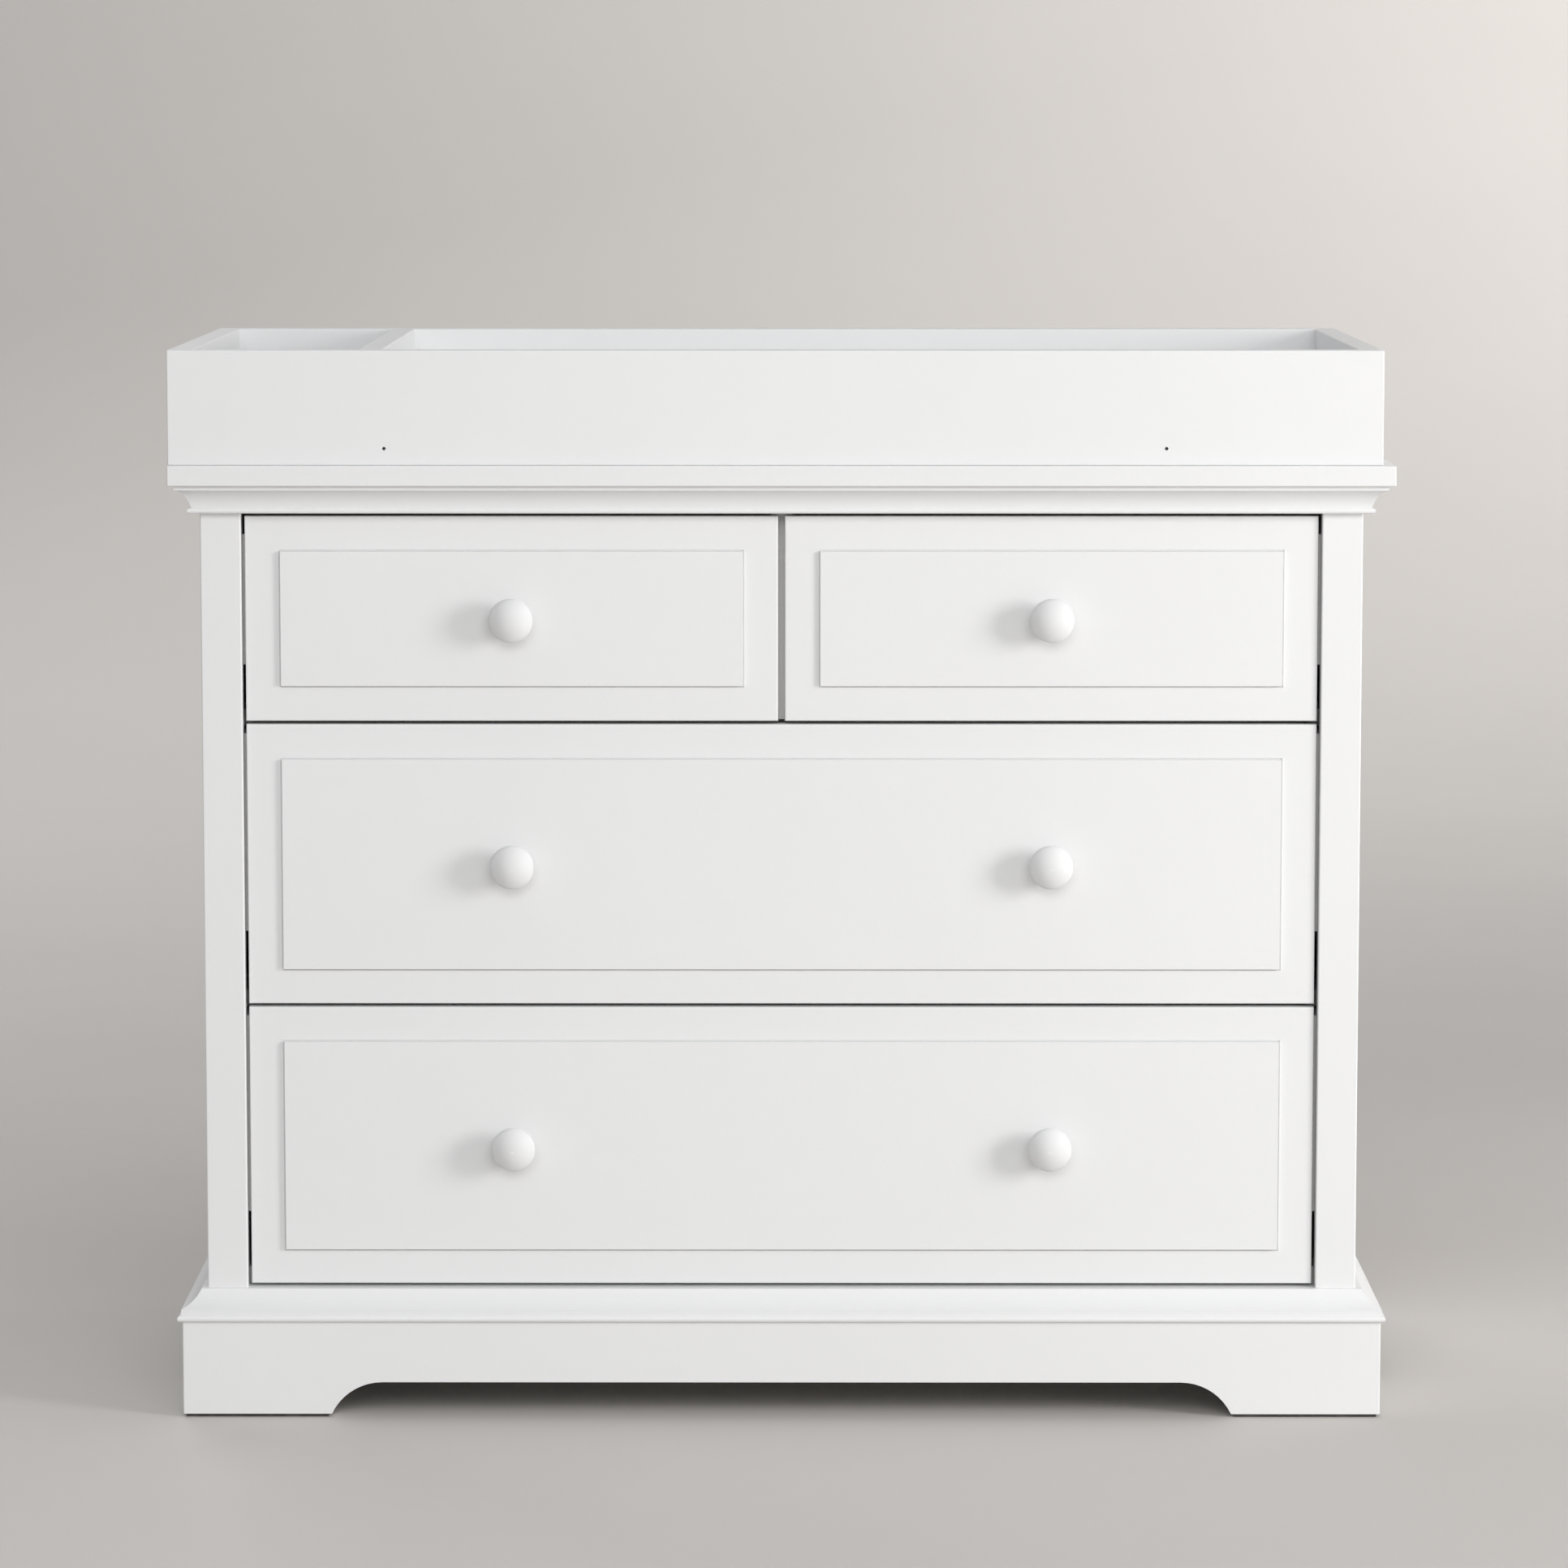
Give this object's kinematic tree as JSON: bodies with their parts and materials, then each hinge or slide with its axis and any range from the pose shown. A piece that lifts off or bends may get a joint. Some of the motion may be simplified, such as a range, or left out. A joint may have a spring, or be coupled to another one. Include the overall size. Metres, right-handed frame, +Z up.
{
  "type": "changing table",
  "caption": "White painted dresser with small drawers over wide ones, round knobs, crown and base mouldings, bracket feet, and a walled changing tray with a side bay on top.",
  "frame": {"origin": "on the floor, at the middle of the outer size in X and Y", "axes": "+X to the right seen from the front, -Y towards the person using it, +Z up"},
  "size_m": [1.052, 0.4716, 0.9285],
  "materials": {
    "white_paint": "satin white paint on board",
    "knob_paint": "satin white paint on turned wood",
    "inner_board": "white laminate on particle board",
    "drawer_board": "white laminate on particle board",
    "hardboard": "thin hardboard",
    "zinc_steel": "zinc-plated",
    "nylon": "moulded"
  },
  "bodies": {
    "case": {"back_panel": "hardboard", "back_panel_nails": "zinc_steel", "back_rails": "inner_board", "base_moulding_front": "white_paint", "base_moulding_left": "white_paint", "base_moulding_right": "white_paint", "bottom_panel": "inner_board", "centre_partition": "inner_board", "crown_moulding_front": "white_paint", "crown_moulding_left": "white_paint", "crown_moulding_right": "white_paint", "foot_glides": "nylon", "front_rails": "inner_board", "front_stile_left": "white_paint", "front_stile_right": "white_paint", "plinth_back": "white_paint", "plinth_front": "white_paint", "plinth_left": "white_paint", "plinth_right": "white_paint", "side_panel_left": "white_paint", "side_panel_right": "white_paint", "slide_fillers": "inner_board", "slide_outer_members": "zinc_steel", "top_panel": "white_paint", "tray_anchor_plates": "zinc_steel", "tray_back": "white_paint", "tray_divider": "white_paint", "tray_floor": "white_paint", "tray_floor_screws": "zinc_steel", "tray_front": "white_paint", "tray_left_wall": "white_paint", "tray_right_wall": "white_paint"},
    "top_left_drawer": {"top_left_drawer_back": "drawer_board", "top_left_drawer_floor": "hardboard", "top_left_drawer_front": "white_paint", "top_left_drawer_knob": "knob_paint", "top_left_drawer_sides": "drawer_board", "top_left_drawer_slide_inner_members": "zinc_steel"},
    "top_left_drawer_runner": {"top_left_drawer_slide_middle_members": "zinc_steel"},
    "top_right_drawer": {"top_right_drawer_back": "drawer_board", "top_right_drawer_floor": "hardboard", "top_right_drawer_front": "white_paint", "top_right_drawer_knob": "knob_paint", "top_right_drawer_sides": "drawer_board", "top_right_drawer_slide_inner_members": "zinc_steel"},
    "top_right_drawer_runner": {"top_right_drawer_slide_middle_members": "zinc_steel"},
    "middle_drawer": {"middle_drawer_back": "drawer_board", "middle_drawer_floor": "hardboard", "middle_drawer_front": "white_paint", "middle_drawer_knobs": "knob_paint", "middle_drawer_sides": "drawer_board", "middle_drawer_slide_inner_members": "zinc_steel"},
    "middle_drawer_runner": {"middle_drawer_slide_middle_members": "zinc_steel"},
    "bottom_drawer": {"bottom_drawer_back": "drawer_board", "bottom_drawer_floor": "hardboard", "bottom_drawer_front": "white_paint", "bottom_drawer_knobs": "knob_paint", "bottom_drawer_sides": "drawer_board", "bottom_drawer_slide_inner_members": "zinc_steel"},
    "bottom_drawer_runner": {"bottom_drawer_slide_middle_members": "zinc_steel"}
  },
  "joints": [
    {"name": "top_left_drawer_slide", "type": "slide", "parent": "case", "child": "top_left_drawer", "axis": [0, -1, 0], "range_m": [0, 0.34]},
    {"name": "top_left_drawer_runner_slide", "type": "slide", "parent": "case", "child": "top_left_drawer_runner", "axis": [0, -1, 0], "range_m": [0, 0.17]},
    {"name": "top_right_drawer_slide", "type": "slide", "parent": "case", "child": "top_right_drawer", "axis": [0, -1, 0], "range_m": [0, 0.34]},
    {"name": "top_right_drawer_runner_slide", "type": "slide", "parent": "case", "child": "top_right_drawer_runner", "axis": [0, -1, 0], "range_m": [0, 0.17]},
    {"name": "middle_drawer_slide", "type": "slide", "parent": "case", "child": "middle_drawer", "axis": [0, -1, 0], "range_m": [0, 0.34]},
    {"name": "middle_drawer_runner_slide", "type": "slide", "parent": "case", "child": "middle_drawer_runner", "axis": [0, -1, 0], "range_m": [0, 0.17]},
    {"name": "bottom_drawer_slide", "type": "slide", "parent": "case", "child": "bottom_drawer", "axis": [0, -1, 0], "range_m": [0, 0.34]},
    {"name": "bottom_drawer_runner_slide", "type": "slide", "parent": "case", "child": "bottom_drawer_runner", "axis": [0, -1, 0], "range_m": [0, 0.17]}
  ],
  "couplings": [
    {"joint": "top_left_drawer_runner_slide", "follows": "top_left_drawer_slide", "ratio": 0.5},
    {"joint": "top_right_drawer_runner_slide", "follows": "top_right_drawer_slide", "ratio": 0.5},
    {"joint": "middle_drawer_runner_slide", "follows": "middle_drawer_slide", "ratio": 0.5},
    {"joint": "bottom_drawer_runner_slide", "follows": "bottom_drawer_slide", "ratio": 0.5}
  ]
}
